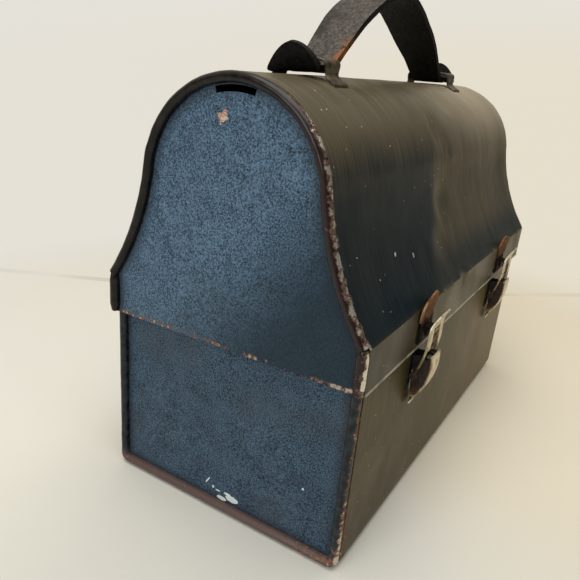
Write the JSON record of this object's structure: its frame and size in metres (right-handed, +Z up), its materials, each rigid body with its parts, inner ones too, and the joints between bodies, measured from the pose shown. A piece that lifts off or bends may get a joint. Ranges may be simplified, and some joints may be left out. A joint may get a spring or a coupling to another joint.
{
  "type": "metal lunch box",
  "caption": "Dome-topped steel lunch box with a rear-hinged lid, draw latches, a leather strap handle and a wire bottle bail.",
  "frame": {"origin": "centre of the base's underside, on the surface the box stands on", "axes": "+X along the box's length, -Y towards the latches, +Z up"},
  "size_m": [0.2558, 0.1349, 0.2244],
  "materials": {
    "black_enamel": "semi-gloss baked enamel, worn at the edges",
    "navy_enamel": "fine wrinkle enamel, blue-black",
    "loop_steel": "dull tarnished steel",
    "strap_leather": "dark grained leather, orange brown where worn",
    "rusty_plate": "rust-brown stamped steel",
    "worn_nickel": "worn nickel plate, rusty in the hollows",
    "pin_steel": "plain steel wire",
    "zinc_wire": "dull zinc plated wire and clips"
  },
  "bodies": {
    "root": {"body_wrap": "black_enamel", "body_end_left": "navy_enamel", "body_end_right": "navy_enamel", "latch_base_left": "black_enamel", "latch_base_right": "black_enamel", "latch_base_rivets": "black_enamel", "lever_pin_left": "pin_steel", "lever_pin_right": "pin_steel", "hinge_body_leaf_left": "black_enamel", "hinge_body_leaf_right": "black_enamel", "hinge_pin_left": "pin_steel", "hinge_pin_right": "pin_steel", "hinge_rivets_body": "black_enamel"},
    "lid": {"lid_wrap": "black_enamel", "lid_end_left": "navy_enamel", "lid_end_right": "navy_enamel", "handle_loop_left": "loop_steel", "handle_loop_right": "loop_steel", "catch_left": "rusty_plate", "catch_right": "rusty_plate", "catch_rivets": "rusty_plate", "hinge_lid_leaf_left": "black_enamel", "hinge_lid_leaf_right": "black_enamel", "hinge_rivets_lid": "black_enamel", "bail_lug_left": "zinc_wire", "bail_lug_right": "zinc_wire", "bail_clip": "zinc_wire"},
    "strap": {"handle_strap": "strap_leather"},
    "bail": {"bottle_bail": "zinc_wire"},
    "lever_left": {"latch_lever_left": "worn_nickel", "link_pin_left": "pin_steel"},
    "lever_right": {"latch_lever_right": "worn_nickel", "link_pin_right": "pin_steel"},
    "link_left": {"latch_link_left": "worn_nickel"},
    "link_right": {"latch_link_right": "worn_nickel"}
  },
  "joints": [
    {"name": "lid_hinge", "type": "hinge", "parent": "root", "child": "lid", "pos_m": [0, 0.0626, 0.0795], "axis": [-1, 0, 0], "range_deg": [0, 110]},
    {"name": "handle_rock", "type": "hinge", "parent": "lid", "child": "strap", "pos_m": [0, 0, 0.1883], "axis": [1, 0, 0], "range_deg": [-6, 6]},
    {"name": "bail_swing", "type": "hinge", "parent": "lid", "child": "bail", "pos_m": [0, 0.051, 0.1055], "axis": [1, 0, 0], "range_deg": [0, 80]},
    {"name": "latch_lever_left_pivot", "type": "hinge", "parent": "root", "child": "lever_left", "pos_m": [-0.066, -0.0658, 0.0763], "axis": [-1, 0, 0], "range_deg": [0, 85]},
    {"name": "latch_link_left_pivot", "type": "hinge", "parent": "lever_left", "child": "link_left", "pos_m": [-0.066, -0.0632, 0.0705], "axis": [-1, 0, 0], "range_deg": [-100, 0]},
    {"name": "latch_lever_right_pivot", "type": "hinge", "parent": "root", "child": "lever_right", "pos_m": [0.066, -0.0658, 0.0763], "axis": [-1, 0, 0], "range_deg": [0, 85]},
    {"name": "latch_link_right_pivot", "type": "hinge", "parent": "lever_right", "child": "link_right", "pos_m": [0.066, -0.0632, 0.0705], "axis": [-1, 0, 0], "range_deg": [-100, 0]}
  ],
  "couplings": [
    {"joint": "latch_link_left_pivot", "follows": "latch_lever_left_pivot", "ratio": -1.15},
    {"joint": "latch_link_right_pivot", "follows": "latch_lever_right_pivot", "ratio": -1.15}
  ]
}
